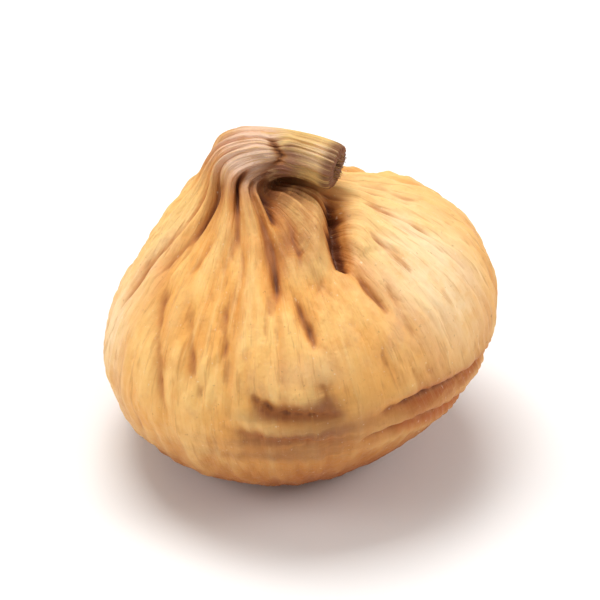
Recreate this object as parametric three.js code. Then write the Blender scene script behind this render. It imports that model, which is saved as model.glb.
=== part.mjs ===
// A dried fig, standing on its eye end with its stalk bent over to the right.
// Millimetres, +Z up. The fig's front, as it is usually seen, faces -Y.
// The fruit grew in one piece, so it is one closed skin: rings of points from the eye underneath,
// over the round body, up the gathered neck and along the stalk to its cut end.
// A place on the skin is given by its distance s along the skin from the eye, in millimetres,
// and its angle round the fig, in degrees from the fig's right towards its back.

import * as THREE from "three";

// Driving dimensions.
const BODY_RADIUS = 15.1; // half the width of the body at its widest
const BODY_LEAN = 10; // how far the body leans over to the left, degrees
const WIDEST_HEIGHT = 10.3; // height of the widest place above the surface that the fig rests on
const SHOULDER_HEIGHT = 21.3; // where the round body turns into the neck
const NECK_LEAN = 3.4; // how far the top of the neck stands to the left of the body's middle
const NECK_HEIGHT = 24.3; // where the neck ends and the stalk bends over
const STALK_RADIUS = 1.6;
const STALK_HEADING = -22; // the way that the stalk points, degrees
const EYE_DEPTH = 2.1; // how far the eye is drawn in under the body
const REST_DEPTH = 0.35; // how much of the underside is pressed flat by the fig's own weight

// The fig before it wrinkled, as rings from the eye to the cut end of the stalk:
// each ring's centre x, y, z, how far it leans over towards the stalk's heading, and its radius.
const STATIONS = [
  [1.7, 0.6, EYE_DEPTH, 0, 0.02],
  [1.7, 0.6, EYE_DEPTH - 0.5, 0, 0.75],
  [1.6, 0.6, 0.65, 0, 1.5],
  [1.2, 0.5, -REST_DEPTH * 0.4, 0, 2.7],
  [0.5, 0.3, -REST_DEPTH, 0, 4.8],
  [0.1, 0.2, 0.2, -BODY_LEAN * 0.2, 7.2],
  [0.1, 0.1, 1.9, -BODY_LEAN * 0.55, 10.0],
  [0.3, 0.1, 5.0, -BODY_LEAN * 0.9, 13.2],
  [0, 0, WIDEST_HEIGHT, -BODY_LEAN, BODY_RADIUS],
  [-0.6, 0, 14.8, -BODY_LEAN, 13.9],
  [-1.1, 0.1, 17.8, -BODY_LEAN * 0.9, 11.3],
  [-1.6, 0.4, 19.8, -BODY_LEAN * 0.7, 8.6],
  [-2.1, 0.9, SHOULDER_HEIGHT, -BODY_LEAN * 0.4, 6.4],
  [-2.6, 1.4, 22.4, 0, 4.9],
  [-NECK_LEAN + 0.2, 1.8, 23.4, 8, 3.75],
  [-NECK_LEAN, 2.0, NECK_HEIGHT, 30, 2.95],
  [-NECK_LEAN + 0.6, 1.9, 24.95, 60, STALK_RADIUS + 0.65],
  [-NECK_LEAN + 1.9, 1.5, 25.5, 80, STALK_RADIUS + 0.25],
  [-NECK_LEAN + 3.4, 1.0, 25.75, 89, STALK_RADIUS + 0.05],
  [-NECK_LEAN + 4.8, 0.6, 25.55, 94, STALK_RADIUS + 0.1],
  [-NECK_LEAN + 6.1, 0.3, 25.1, 97, STALK_RADIUS * 1.08],
  [-NECK_LEAN + 6.38, 0.25, 25.03, 97, STALK_RADIUS * 0.86],
  [-NECK_LEAN + 6.2, 0.3, 25.07, 97, 0.02],
];

// Pleats of the skin, which are gathered round the neck and split as they run down the body.
const NECK_PLEATS = 17;
const PLEAT_WIDTH = 3.1; // from crest to crest on the body
const PLEAT_DEPTH = 0.62;
const BACK_DEPTH = 0.5; // how much deeper the pleats are at the back, as a share
const PLEAT_LENGTH = 4.6; // how far a pleat runs before it wanders off or splits
const PLEAT_SLANT = 0.4; // how far pleats on the body turn from the line from eye to stalk
const UNDER_SLANT = 1.6; // how much further they turn on the underside
const PLEAT_EVENNESS = 0.25; // strength of the weakest pleats, as a share of the strongest
const PLEAT_LEAN = 0.45; // how far pleats lean over to one side
const PLEAT_SOFTNESS = 0.25; // how far pleats fade where neighbours disagree

// Broad swellings of the skin, and dents where the height is negative.
const SWELLS = [
  { angle: 14, s: 32.6, height: 1.35, across: 6.5, along: 4.2 }, // the full right shoulder
  { angle: 14, s: 26.5, height: 0.45, across: 8.0, along: 5.5 },
  { angle: 52, s: 33.4, height: -0.55, across: 4.0, along: 3.0 }, // and the lower skin behind it
  { angle: 165, s: 35.5, height: 0.8, across: 4.0, along: 3.0 }, // behind the neck on the left
  { angle: -55, s: 12.5, height: -0.6, across: 6.0, along: 4.5 }, // the flatter front, low on the right
  { angle: -30, s: 35.5, height: 0.5, across: 2.6, along: 2.0 }, // the lobe beside the great crease
  { angle: 60, s: 27.0, height: -0.9, across: 5.5, along: 4.5 }, // a dent behind the right shoulder
  { angle: 118, s: 22.0, height: 0.6, across: 5.0, along: 4.0 },
  { angle: 150, s: 28.0, height: -0.6, across: 4.0, along: 5.0 },
  { angle: -178, s: 16.0, height: 0.4, across: 5.0, along: 3.0 },
];

/** A crease along a line of places on the skin, or a ridge where its height is positive. */
const seam = (height, width, lip, ...path) => ({ height, width, lip, path });

// The lines are lists of [angle, s]. The lip is the height of the roll of skin at each side of a
// crease, as a share of the crease's depth.
const SEAMS = [
  // The great crease from under the stalk down the front, and the lip of skin that hangs beside it.
  seam(-1.5, 1.8, 0.25, [-12, 39.6], [-25, 38.2], [-39, 37.0], [-50, 35.7], [-55, 34.2], [-54, 33.2]),
  seam(-0.45, 1.5, 0, [-51, 35.5], [-55, 34.1], [-52.5, 32.8], [-52.5, 31.3], [-51.5, 29.6], [-50.5, 27.7]),
  seam(0.75, 2.0, 0, [-30, 42.0], [-46, 40.4], [-60, 38.8], [-68, 36.8], [-71, 34.6], [-73, 32.8]),
  // The notch between the gathered crown of the neck and the stalk.
  seam(-0.55, 1.1, 0.3, [150, 43.8], [180, 44.3], [204, 44.8], [225, 45.2], [243, 45.0], [266, 44.4]),
  // Gathers that run down from the neck.
  seam(-0.75, 1.3, 0.2, [-104, 43.2], [-109, 42.2], [-115, 40.8], [-121, 39.2], [-126, 37.4]),
  seam(-0.7, 1.2, 0.2, [-62, 43.0], [-70, 41.6], [-77, 40.2], [-83, 38.9], [-87, 37.7]),
  seam(-0.75, 1.8, 0.2, [-138, 42.0], [-146, 40.3], [-152, 37.7], [-154.5, 35.6], [-159, 33.0], [-160, 31.2]),
  seam(-0.55, 1.4, 0.25, [-87, 39.0], [-88, 37.6], [-89, 36.0], [-90.5, 34.4], [-92, 32.4], [-94, 30.8]),
  seam(-0.5, 1.4, 0.25, [-85, 34.6], [-83.5, 32.8], [-81.5, 31.1], [-80.5, 29.4], [-80, 27.6]),
  // Long shallow grooves down the left and the front.
  seam(-0.4, 1.8, 0, [-155, 34], [-152, 32.5], [-147, 30.4], [-142, 28.3], [-137, 26], [-134, 23.8], [-130, 21.5]),
  seam(-0.25, 1.6, 0, [-132, 33.0], [-127, 29.4], [-121.5, 26.1], [-117, 23.6]),
  seam(-0.22, 1.6, 0, [-116, 34.5], [-113.5, 31.4], [-112, 28.3], [-110, 25.0]),
  // The fan of lines on the right shoulder.
  seam(-0.3, 1.5, 0, [-30, 36.2], [-33, 34.2], [-32.5, 31.8], [-35.5, 28.4]),
  seam(-0.3, 1.5, 0, [-56, 30.2], [-58.5, 28.2], [-60, 26.2], [-58, 23.8]),
  // The folds that run across, low on the front, where the skin sagged.
  seam(-0.75, 1.8, 0.4, [-106, 25.9], [-101, 24.9], [-95, 23.7], [-88, 23.2], [-79, 22.7], [-75, 22.4]),
  seam(-0.6, 1.8, 0.4, [-116, 23.2], [-108, 22.1], [-100, 21.3], [-90, 20.7], [-80, 19.9], [-73, 19.4]),
  seam(-0.75, 1.7, 0.4, [-8, 19.3], [-20, 19.9], [-32, 20.2], [-42, 20.9], [-52, 21.4], [-61, 21.5], [-74, 21.3]),
  seam(-0.6, 1.7, 0.4, [-22, 16.9], [-32, 17.3], [-42, 17.9], [-54, 19.0], [-66, 19.0], [-82, 18.4]),
  // Creases on the sides and the back.
  seam(-1.1, 1.8, 0.2, [28, 38.6], [34, 37.0], [38, 35.0], [44, 32.6], [47, 30.4]),
  seam(-0.5, 1.5, 0.2, [47, 31.4], [52, 29.0], [56, 26.0], [64, 23.6]),
  seam(-0.8, 1.7, 0.2, [84, 39.6], [88, 37.2], [92, 34.2], [90, 31.0], [94, 28.4]),
  seam(-1.0, 1.8, 0.2, [128, 40.2], [131, 37.6], [126, 34.8], [129, 31.2], [124, 28.0]),
  // Where the skin sagged, low on the sides and the back.
  seam(-0.4, 1.6, 0.3, [22, 19.4], [36, 18.6], [50, 18.9], [64, 18.2], [78, 18.8], [90, 18.2]),
  seam(-0.3, 1.6, 0.3, [92, 16.4], [106, 15.6], [120, 16.2], [136, 15.0], [148, 15.2]),
  seam(-0.4, 1.6, 0.3, [140, 22.0], [156, 20.6], [170, 20.4], [184, 19.2], [198, 19.4]),
  seam(-0.3, 1.6, 0.3, [-176, 16.0], [-162, 15.4], [-146, 16.2], [-132, 15.6]),
];

const SEAM_FADE = 0.3; // share of a seam's length over which each end runs out
const SEAM_STEPS = 4; // straight steps between two places of a seam's line

// Gathers that run down the sides and the back from the neck, long and short ones mixed.
const BACK_GATHERS = {
  count: 9,
  first: 20, // angle of the first one, degrees
  sweep: 180, // how far round the fig they reach, degrees
  top: 41.5, // distance along the skin at which they start
  end: [20, 33], // and at which they end
  depth: [0.3, 0.7],
  width: 1.5,
  lip: 0.2,
  wander: 4.5, // how far a place on its line strays to each side, degrees
  places: 7, // on each one's line
};
const drawBetween = ([low, high], n) => low + (high - low) * draw(n);
for (let k = 0; k < BACK_GATHERS.count; k++) {
  const { count, first, sweep, top, width, lip, wander, places } = BACK_GATHERS;
  const middle = first + (sweep * (k + drawBetween([0, 0.7], 900 + k))) / count;
  const end = drawBetween(BACK_GATHERS.end, 920 + k);
  const depth = drawBetween(BACK_GATHERS.depth, 940 + k);
  const path = [];
  for (let i = 0; i < places; i++) {
    const stray = drawBetween([-wander, wander], 960 + places * k + i);
    path.push([middle + stray, top + ((end - top) * i) / (places - 1)]);
  }
  SEAMS.push(seam(-depth, width, lip, ...path));
}

const FULL_TURN = 2 * Math.PI;
const { degToRad, clamp } = THREE.MathUtils;

/** A repeatable draw from 0 to 1 for the whole number n. */
function draw(n) {
  const x = Math.sin(n * 12.9898 + 4.1414) * 43758.5453;
  return x - Math.floor(x);
}

function smoothstep(low, high, x) {
  const t = clamp((x - low) / (high - low), 0, 1);
  return t * t * (3 - 2 * t);
}

/** The shorter way round to an angle. */
function shortTurn(angle) {
  return angle - FULL_TURN * Math.round(angle / FULL_TURN);
}

/** Values of the station list at place t, along a Catmull-Rom curve. */
function stationAt(t) {
  const i = Math.min(Math.floor(t), STATIONS.length - 2);
  const f = t - i;
  const at = (k) => STATIONS[clamp(k, 0, STATIONS.length - 1)];
  const [a, b, c, d] = [at(i - 1), at(i), at(i + 1), at(i + 2)];
  return b.map((_, k) => {
    const slope0 = (c[k] - a[k]) / 2;
    const slope1 = (d[k] - b[k]) / 2;
    const rise = c[k] - b[k];
    return b[k] + f * (slope0 + f * (3 * rise - 2 * slope0 - slope1 + f * (slope0 + slope1 - 2 * rise)));
  });
}

// The stations again at even steps, with the distance along the skin from the eye.
const STEPS = 900;
const PATH = [];
for (let i = 0; i <= STEPS; i++) {
  const [x, y, z, lean, radius] = stationAt((i / STEPS) * (STATIONS.length - 1));
  const before = PATH[i - 1];
  const step = before ? Math.hypot(z - before.z, radius - before.radius, x - before.x, y - before.y) : 0;
  PATH.push({ s: before ? before.s + step : 0, x, y, z, lean, radius: Math.max(radius, 0.001) });
}
const LENGTH = PATH[STEPS].s;

/** The ring at distance s along the skin from the eye. */
function ringAt(s) {
  let low = 0;
  let high = STEPS;
  while (high - low > 1) {
    const middle = (low + high) >> 1;
    if (PATH[middle].s <= s) low = middle;
    else high = middle;
  }
  const f = clamp((s - PATH[low].s) / Math.max(PATH[high].s - PATH[low].s, 1e-9), 0, 1);
  const ring = {};
  for (const key of ["x", "y", "z", "lean", "radius"]) {
    ring[key] = PATH[low][key] + f * (PATH[high][key] - PATH[low][key]);
  }
  return ring;
}

/** A point of the unwrinkled fig. The angle is in radians. */
function plainPoint(s, angle) {
  const { x, y, z, lean, radius } = ringAt(s);
  const heading = degToRad(STALK_HEADING);
  const forward = radius * Math.cos(angle - heading);
  const sideways = radius * Math.sin(angle - heading);
  const level = forward * Math.cos(degToRad(lean));
  return new THREE.Vector3(
    x + level * Math.cos(heading) - sideways * Math.sin(heading),
    y + level * Math.sin(heading) + sideways * Math.cos(heading),
    z - forward * Math.sin(degToRad(lean)),
  );
}

/** The outward direction of the unwrinkled fig. */
function plainNormal(s, angle) {
  const around = plainPoint(s, angle + 0.01).sub(plainPoint(s, angle - 0.01));
  const along = plainPoint(Math.min(s + 0.05, LENGTH), angle).sub(plainPoint(Math.max(s - 0.05, 0), angle));
  return around.cross(along).normalize();
}

// Where the skin turns into the neck, and the neck into the stalk.
const UNDERSIDE_S = 12;
const distanceTo = (height) => PATH.find((ring) => ring.z >= height && ring.s > UNDERSIDE_S).s;
const SHOULDER_S = distanceTo(SHOULDER_HEIGHT);
const NECK_S = distanceTo(NECK_HEIGHT);

/** Patches of pleats: each has its own direction and strength, and neighbours meet in splits and joins. */
function pleatPatches() {
  const patches = [];
  const pace = PLEAT_LENGTH * 0.8;
  for (let s = pace; s < LENGTH; s += pace) {
    const { radius } = ringAt(s);
    const count = Math.max(6, Math.round((FULL_TURN * radius) / (PLEAT_WIDTH * 0.8)));
    const onNeck = smoothstep(SHOULDER_S - 4, SHOULDER_S + 1, s);
    const gathers = Math.max(NECK_PLEATS, (FULL_TURN * radius) / PLEAT_WIDTH);
    const underside = 1 - smoothstep(10, 17, s);
    const spread = ((PLEAT_SLANT + UNDER_SLANT * underside) * (1 - onNeck) * FULL_TURN) / PLEAT_WIDTH;
    for (let i = 0; i < count; i++) {
      const n = patches.length;
      patches.push({
        s: s + pace * (draw(3 * n + 1) - 0.5),
        angle: (FULL_TURN * (i + draw(3 * n + 2))) / count,
        radius,
        gathers,
        slant: (draw(3 * n) - 0.5) * spread,
        phase: (1 - onNeck) * FULL_TURN * draw(3 * n + 7),
        strength: PLEAT_EVENNESS + (1 - PLEAT_EVENNESS) * draw(3 * n + 11),
      });
    }
  }
  return patches;
}
const PATCHES = pleatPatches();

/** Height of the pleats: up to 0.3 on a round crest, down to -0.7 in a sharp crease. */
function pleatHeight(s, angle) {
  const warped = angle + 0.1 * Math.sin(2 * angle + 1) + 0.06 * Math.sin(5 * angle + 2.3);
  let real = 0;
  let imaginary = 0;
  let total = 1e-6;
  let strength = 0;
  for (const patch of PATCHES) {
    const along = (s - patch.s) / PLEAT_LENGTH;
    if (Math.abs(along) > 2.2) continue;
    const across = (shortTurn(warped - patch.angle) * patch.radius) / (PLEAT_WIDTH * 0.62);
    if (Math.abs(across) > 3.5) continue;
    const weight = Math.exp(-0.5 * (along * along + across * across));
    const wave = patch.gathers * warped + patch.slant * (s - patch.s) + patch.phase;
    real += weight * Math.cos(wave);
    imaginary += weight * Math.sin(wave);
    total += weight;
    strength += weight * patch.strength;
  }
  const size = Math.hypot(real, imaginary);
  const phase = Math.atan2(imaginary, real);
  const sure = size / Math.hypot(size, PLEAT_SOFTNESS * total);
  const cosine = sure * Math.cos(phase + PLEAT_LEAN * Math.sin(phase));
  return (strength / total) * (Math.sqrt(0.5 * (1 + cosine)) - 0.7);
}

/** How far a swelling lifts the skin at a place. */
function swellHeight({ angle: middle, s: place, height, across, along }, s, angle) {
  const sideways = (shortTurn(angle - degToRad(middle)) * ringAt(place).radius) / across;
  const lengthways = (s - place) / along;
  return height * Math.exp(-0.5 * (sideways * sideways + lengthways * lengthways));
}

/** Points along a seam's line, on the unwrinkled fig. */
function seamLine({ path }) {
  const points = [];
  const last = (path.length - 1) * SEAM_STEPS;
  for (let k = 0; k <= last; k++) {
    const i = Math.min(Math.floor(k / SEAM_STEPS), path.length - 2);
    const f = k / SEAM_STEPS - i;
    const angle = path[i][0] + f * (path[i + 1][0] - path[i][0]);
    const s = path[i][1] + f * (path[i + 1][1] - path[i][1]);
    points.push(plainPoint(s, degToRad(angle)));
  }
  return points;
}
const SEAM_LINES = SEAMS.map(seamLine);

/** How far a seam lifts the skin at a point of the unwrinkled fig. */
function seamHeight({ height, width, lip }, line, point) {
  let nearest = Infinity;
  let place = 0;
  const closest = new THREE.Vector3();
  for (let k = 0; k < line.length - 1; k++) {
    const edge = new THREE.Line3(line[k], line[k + 1]);
    const t = edge.closestPointToPointParameter(point, true);
    const gap = edge.at(t, closest).distanceTo(point);
    if (gap < nearest) {
      nearest = gap;
      place = (k + t) / (line.length - 1);
    }
  }
  const far = nearest / width;
  const strength = smoothstep(0, SEAM_FADE, place) * smoothstep(0, SEAM_FADE, 1 - place);
  const rolled = lip * Math.exp(-(((far - 1.5) / 0.7) ** 2));
  return height * strength * (Math.exp(-((1.6 * far) ** 1.5)) - rolled);
}

/** How far the skin stands out from the unwrinkled fig. */
function relief(s, angle) {
  const onStalk = smoothstep(NECK_S - 0.5, NECK_S + 1.5, s);
  const onNeck = smoothstep(SHOULDER_S - 7, SHOULDER_S + 1, s);
  const onEye = 1 - smoothstep(2.5, 5, s);
  const depth = PLEAT_DEPTH * (0.45 + 0.75 * onNeck) * (1 - 0.75 * onStalk) * (1 - 0.6 * onEye);
  const plain = plainPoint(s, angle);
  const atBack = 1 + BACK_DEPTH * smoothstep(-0.2, 0.8, Math.sin(angle));
  let height = depth * atBack * pleatHeight(s, angle);
  for (const swell of SWELLS) height += swellHeight(swell, s, angle);
  SEAMS.forEach((line, k) => {
    height += seamHeight(line, SEAM_LINES[k], plain);
  });
  const beforeEnd = 1 - smoothstep(LENGTH - 2.2, LENGTH - 1.4, s);
  return height * beforeEnd;
}

/** A point of the finished skin. The underside is pressed flat. */
function skinPoint(s, angle) {
  const point = plainPoint(s, angle).addScaledVector(plainNormal(s, angle), relief(s, angle));
  point.z = Math.max(point.z, 0);
  return point;
}

/** Joins two rings of points with triangles. One ring may have twice as many points as the other. */
function stitch(indices, lower, upper) {
  const fine = lower.count >= upper.count ? lower : upper;
  const coarse = fine === lower ? upper : lower;
  const share = fine.count / coarse.count;
  const add = (a, b, c) => indices.push(...(fine === lower ? [a, b, c] : [a, c, b]));
  for (let j = 0; j < coarse.count; j++) {
    const c0 = coarse.start + j;
    const c1 = coarse.start + ((j + 1) % coarse.count);
    const f = [0, 1, 2].map((k) => fine.start + ((share * j + k) % fine.count));
    add(f[0], f[1], c0);
    add(f[1], c1, c0);
    if (share === 2) add(f[1], f[2], c1);
  }
}

// Points in a ring: on the body, on the neck and the underside, and on the stalk and the eye.
const BODY_POINTS = 128;
const NECK_POINTS = 64;
const STALK_POINTS = 32;
const RING_PACE = 0.92; // between two rings on the body

/** The whole skin as one closed surface. */
function skinGeometry() {
  const positions = [];
  const indices = [];
  const rings = [];
  for (let s = 0.6; s < LENGTH - 0.3; ) {
    const { radius } = ringAt(s);
    const smallest = s < UNDERSIDE_S ? 8 : 4.5;
    const count = radius > smallest ? BODY_POINTS : radius > 2.1 ? NECK_POINTS : STALK_POINTS;
    rings.push({ start: positions.length / 3, count });
    for (let j = 0; j < count; j++) {
      positions.push(...skinPoint(s, (FULL_TURN * j) / count).toArray());
    }
    s += clamp(radius * 0.22, 0.45, RING_PACE);
  }
  for (let i = 1; i < rings.length; i++) stitch(indices, rings[i - 1], rings[i]);
  const closeWithFan = (ring, s, turned) => {
    const tip = positions.length / 3;
    positions.push(...skinPoint(s, 0).toArray());
    for (let j = 0; j < ring.count; j++) {
      const [a, b] = [ring.start + j, ring.start + ((j + 1) % ring.count)];
      indices.push(...(turned ? [tip, b, a] : [tip, a, b]));
    }
  };
  closeWithFan(rings[0], 0, true);
  closeWithFan(rings[rings.length - 1], LENGTH, false);
  const geometry = new THREE.BufferGeometry();
  geometry.setAttribute("position", new THREE.Float32BufferAttribute(positions, 3));
  geometry.setIndex(indices);
  geometry.computeBoundingBox();
  const middle = geometry.boundingBox.getCenter(new THREE.Vector3());
  geometry.translate(-middle.x, -middle.y, 0);
  geometry.computeVertexNormals();
  return geometry;
}

const skin = new THREE.MeshStandardMaterial({ color: 0xdfae6c, roughness: 0.6, metalness: 0 });
const fig = new THREE.Mesh(skinGeometry(), skin);
fig.name = "dried_fig";

const part = new THREE.Group();
part.add(fig);

export default part;
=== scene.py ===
"""A sun-dried fig: its wrinkled skin, bent stalk and drawn-in eye, on a pale studio floor."""

import logging
import math
from dataclasses import dataclass
from enum import Enum

import bpy
import numpy as np
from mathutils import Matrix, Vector


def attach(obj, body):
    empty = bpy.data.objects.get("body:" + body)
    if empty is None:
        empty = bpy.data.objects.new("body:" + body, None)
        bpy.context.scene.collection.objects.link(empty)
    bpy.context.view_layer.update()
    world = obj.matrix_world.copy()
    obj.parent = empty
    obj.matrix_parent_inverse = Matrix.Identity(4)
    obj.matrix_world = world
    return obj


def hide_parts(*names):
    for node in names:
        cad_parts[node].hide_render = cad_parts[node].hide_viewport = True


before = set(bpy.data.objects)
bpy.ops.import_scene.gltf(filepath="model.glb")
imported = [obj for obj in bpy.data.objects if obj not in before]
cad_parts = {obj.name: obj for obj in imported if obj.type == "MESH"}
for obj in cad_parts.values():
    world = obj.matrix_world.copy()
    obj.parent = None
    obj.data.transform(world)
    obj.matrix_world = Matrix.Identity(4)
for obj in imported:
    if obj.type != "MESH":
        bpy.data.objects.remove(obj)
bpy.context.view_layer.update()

log = logging.getLogger("dried_fig")

MM = 0.001
FULL_TURN = 2 * math.pi
NODE = "dried_fig"
BODY = "root"
CUT_INSET = 1.2  # from the middle of the stalk's cut end out to where its fibres stop, mm
MATH = "ShaderNodeMath"
PRODUCT = {"operation": "MULTIPLY"}
QUOTIENT = {"operation": "DIVIDE"}
SUM = {"operation": "ADD"}
DIFFERENCE = {"operation": "SUBTRACT"}


def draw(n: np.ndarray | float) -> np.ndarray:
    """A repeatable draw from 0 to 1 for each whole number.

    Args:
        n: the whole numbers.

    Returns:
        A draw for each of them, the same in every run.
    """
    # The usual sine hash, whose three numbers only have to be large and uneven.
    x = np.sin(np.asarray(n, float) * 12.9898 + 4.1414) * 43758.5453
    return x - np.floor(x)


def smoothstep(low: float, high: float, x: np.ndarray) -> np.ndarray:
    """A soft step.

    Args:
        low: where it starts.
        high: where it ends.
        x: the places to work it out for.

    Returns:
        0 below low, 1 above high and a smooth rise between them.
    """
    t = np.clip((np.asarray(x, float) - low) / (high - low), 0, 1)
    return t * t * (3 - 2 * t)


@dataclass(frozen=True)
class Swell:
    """A broad swelling of the skin, or a dent where its height is negative."""

    angle: float  # round the fig, degrees
    s: float  # along the skin from the eye, mm
    height: float  # mm
    across: float  # how far it spreads round the fig, mm
    along: float  # how far it spreads along the skin, mm

    def offset(self, form: "FigForm", s: np.ndarray, angle: np.ndarray) -> np.ndarray:
        """How far it lifts the skin.

        Args:
            form: the fig that it is on.
            s: distances along the skin, mm.
            angle: angles round the fig, radians.

        Returns:
            The lift in mm, at every distance by every angle.
        """
        radius = float(form.ring(np.array([self.s]))[0, 4])
        turn = angle - math.radians(self.angle)
        turn -= FULL_TURN * np.round(turn / FULL_TURN)
        around = np.exp(-0.5 * (turn * radius / self.across) ** 2)
        return self.height * np.outer(np.exp(-0.5 * ((s - self.s) / self.along) ** 2), around)


@dataclass(frozen=True)
class Seam:
    """A crease in the skin along a line, or a ridge where its height is positive."""

    height: float  # mm
    width: float  # from its middle to where it is all but gone, mm
    path: tuple[tuple[float, float], ...]  # places on the skin: angle in degrees, s in mm
    lip: float = 0.0  # height of the roll of skin at each side, as a share of its depth
    fade: float = 0.3  # share of its length over which each end runs out
    lip_place: float = 1.5  # from its middle to the roll of skin, in widths
    lip_width: float = 0.7  # in widths
    steepness: float = 1.7  # how soon its sides rise from the bottom
    sharpness: float = 1.3  # of its bottom: 1 is a sharp one and 2 a round one

    def offset(self, form: "FigForm", points: np.ndarray) -> np.ndarray:
        """How far it lifts the skin.

        Args:
            form: the fig that it is on.
            points: points of the unwrinkled fig, mm.

        Returns:
            The lift at each point, mm.
        """
        line = form.line_on_skin(self.path)
        nearest = np.full(points.shape[:2], np.inf)
        place = np.zeros(points.shape[:2])
        for k, (start, end) in enumerate(zip(line[:-1], line[1:])):
            edge = end - start
            t = np.clip((points - start) @ edge / (edge @ edge), 0, 1)
            gap = np.linalg.norm(points - start - t[..., None] * edge, axis=-1)
            closer = gap < nearest
            nearest[closer] = gap[closer]
            place[closer] = ((k + t) / (len(line) - 1))[closer]
        strength = smoothstep(0, self.fade, place) * smoothstep(0, self.fade, 1 - place)
        far = nearest / self.width
        rolled = self.lip * np.exp(-(((far - self.lip_place) / self.lip_width) ** 2))
        return self.height * strength * (np.exp(-((self.steepness * far) ** self.sharpness)) - rolled)


@dataclass(frozen=True)
class FoldField:
    """Folds of one size, made of overlapping patches that each have their own direction."""

    width: float  # from crest to crest on the open skin, mm
    length: float  # how far a fold runs before it wanders off or splits, mm
    neck_pleats: float  # gathers round the neck
    slant: float  # how far folds on the body turn from the line from eye to stalk
    under_slant: float  # how much further they turn on the underside
    evenness: float  # strength of the weakest patch, as a share of the strongest
    first_draw: int  # number of its first random draw
    neck_order: float = 1.0  # how nearly all folds on the neck run alongside each other
    lean: float = 0.0  # how far the folds lean over to one side
    softness: float = 0.25  # how far the folds fade where neighbours disagree
    patch_step: float = 0.8  # from one patch to the next, as a share of a fold's length or width
    patch_width: float = 0.62  # how far a patch spreads sideways, as a share of a fold's width
    reach_along: float = 2.2  # how far out a patch still counts, in its own spreads
    reach_across: float = 3.5
    open_skin: float = 0.7  # height of the open skin above the bottom of a crease

    def height(self, form: "FigForm", s: np.ndarray, angle: np.ndarray) -> np.ndarray:
        """Height of the folds.

        Args:
            form: the fig that they are on.
            s: distances along the skin, mm.
            angle: angles round the fig, radians.

        Returns:
            Up to 0.3 on a round crest and down to -0.7 in a sharp crease, at every distance by every
            angle.
        """
        # Uneven spacing round the fig.
        warped = angle + 0.1 * np.sin(2 * angle + 1) + 0.06 * np.sin(5 * angle + 2.3)
        wave = np.zeros((len(s), len(angle)), complex)
        weight = np.full(wave.shape, 1e-6)
        strength = np.zeros(wave.shape)
        pace = self.length * self.patch_step
        n = self.first_draw
        for row_s in np.arange(pace, form.length, pace):
            radius = float(form.ring(np.array([row_s]))[0, 4])
            count = max(6, math.floor(FULL_TURN * radius / (self.width * self.patch_step) + 0.5))
            on_neck = float(smoothstep(form.shoulder_s - 4, form.shoulder_s + 1, row_s))
            on_neck *= self.neck_order
            gathers = max(self.neck_pleats, FULL_TURN * radius / self.width)
            underside = 1 - float(smoothstep(10, 17, row_s))
            slanted = (self.slant + self.under_slant * underside) * (1 - on_neck)
            spread = slanted * FULL_TURN / self.width
            for i in range(count):
                slant = float(draw(3 * n) - 0.5) * spread
                patch_s = row_s + pace * float(draw(3 * n + 1) - 0.5)
                patch_angle = FULL_TURN * (i + float(draw(3 * n + 2))) / count
                phase = (1 - on_neck) * FULL_TURN * float(draw(3 * n + 7))
                patch_strength = self.evenness + (1 - self.evenness) * float(draw(3 * n + 11))
                n += 1
                along = (s - patch_s) / self.length
                turn = warped - patch_angle
                turn -= FULL_TURN * np.round(turn / FULL_TURN)
                across = turn * radius / (self.width * self.patch_width)
                rows = np.nonzero(np.abs(along) <= self.reach_along)[0]
                columns = np.nonzero(np.abs(across) <= self.reach_across)[0]
                lengthways = np.exp(-0.5 * along[rows] ** 2)
                sideways = np.exp(-0.5 * across[columns] ** 2)
                block = np.ix_(rows, columns)
                wave[block] += np.outer(
                    lengthways * np.exp(1j * (slant * (s[rows] - patch_s) + phase)),
                    sideways * np.exp(1j * gathers * warped[columns]),
                )
                share = np.outer(lengthways, sideways)
                weight[block] += share
                strength[block] += share * patch_strength
        size = np.abs(wave)
        phase = np.angle(wave)
        sure = size / np.hypot(size, self.softness * weight)
        cosine = sure * np.cos(phase + self.lean * np.sin(phase))
        return strength / weight * (np.sqrt(0.5 * (1 + cosine)) - self.open_skin)


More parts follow.
